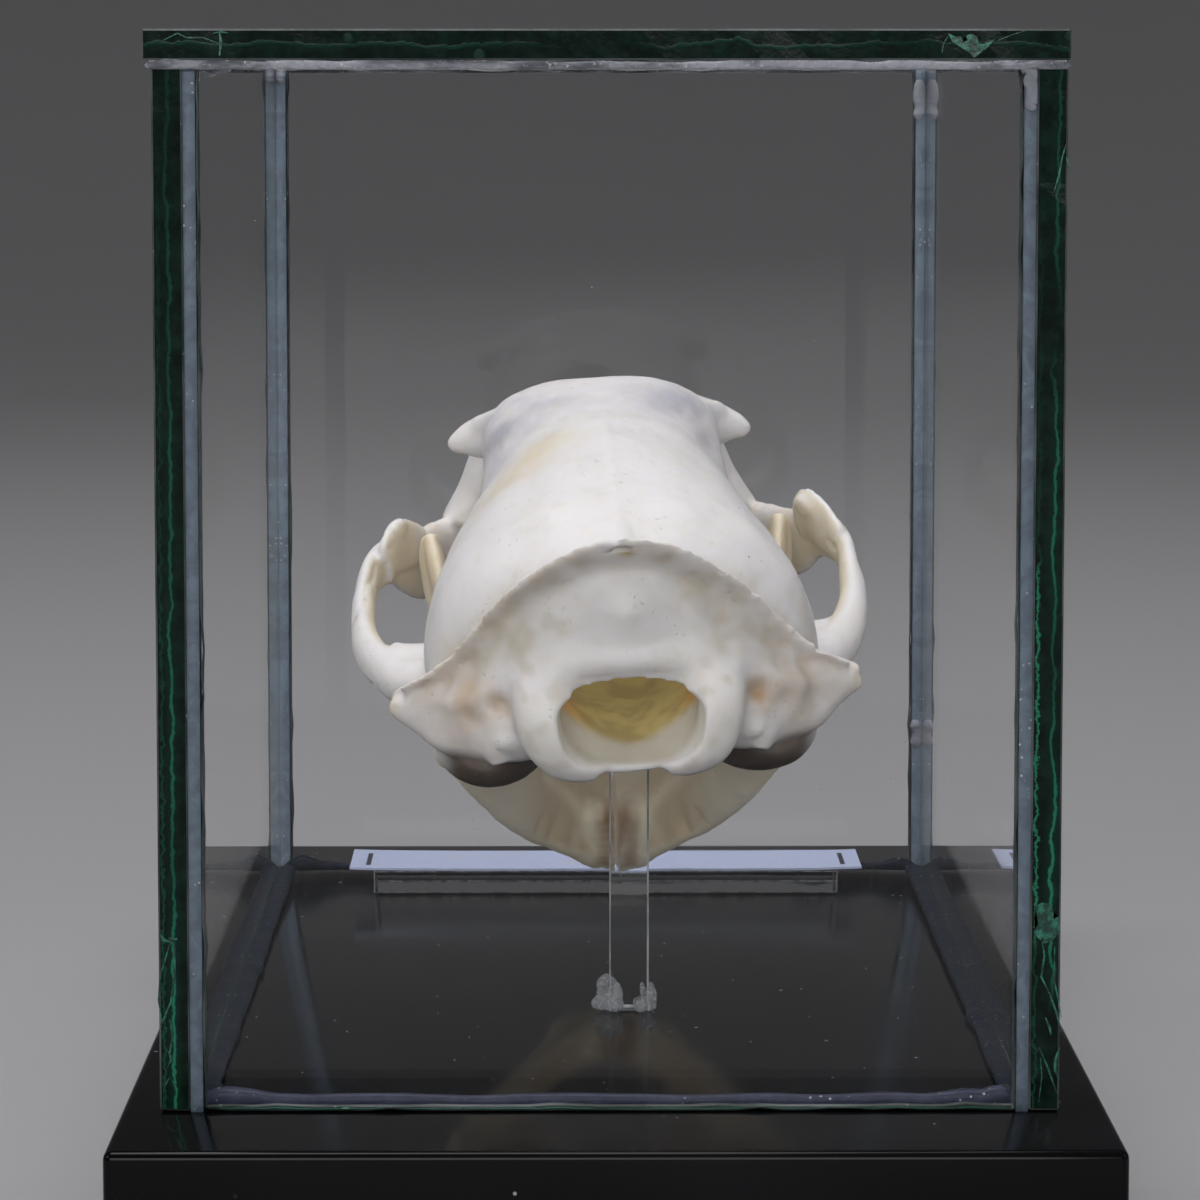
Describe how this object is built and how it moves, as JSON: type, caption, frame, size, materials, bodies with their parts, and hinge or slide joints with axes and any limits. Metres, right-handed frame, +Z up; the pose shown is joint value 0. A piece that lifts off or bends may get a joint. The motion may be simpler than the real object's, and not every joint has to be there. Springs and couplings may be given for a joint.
{
  "type": "polecat skull in display case",
  "caption": "Small carnivore skull with open jaws on a clear square rod inside a glued glass box on a black plinth, with a plain label strip.",
  "frame": {"origin": "middle of the plinth's underside", "axes": "+Z up, +Y along the plinth's long side, the way the nose points, +X to the skull's right"},
  "size_m": [0.068, 0.135, 0.0832],
  "materials": {
    "bone": "dry cleaned bone, satin, with harder and glossier teeth",
    "acrylic": "clear cast acrylic, sawn edges",
    "plinth": "polished black acrylic",
    "paper": "white card, matte",
    "glass": "clear float glass with cut green edges"
  },
  "bodies": {
    "root": {"cranium": "bone", "mandible_left": "bone", "mandible_right": "bone", "rod": "acrylic", "plinth": "plinth", "label_strip": "acrylic", "label": "paper", "pane_left": "glass", "pane_right": "glass", "pane_back": "glass", "pane_front": "glass", "pane_top": "glass"}
  },
  "joints": []
}
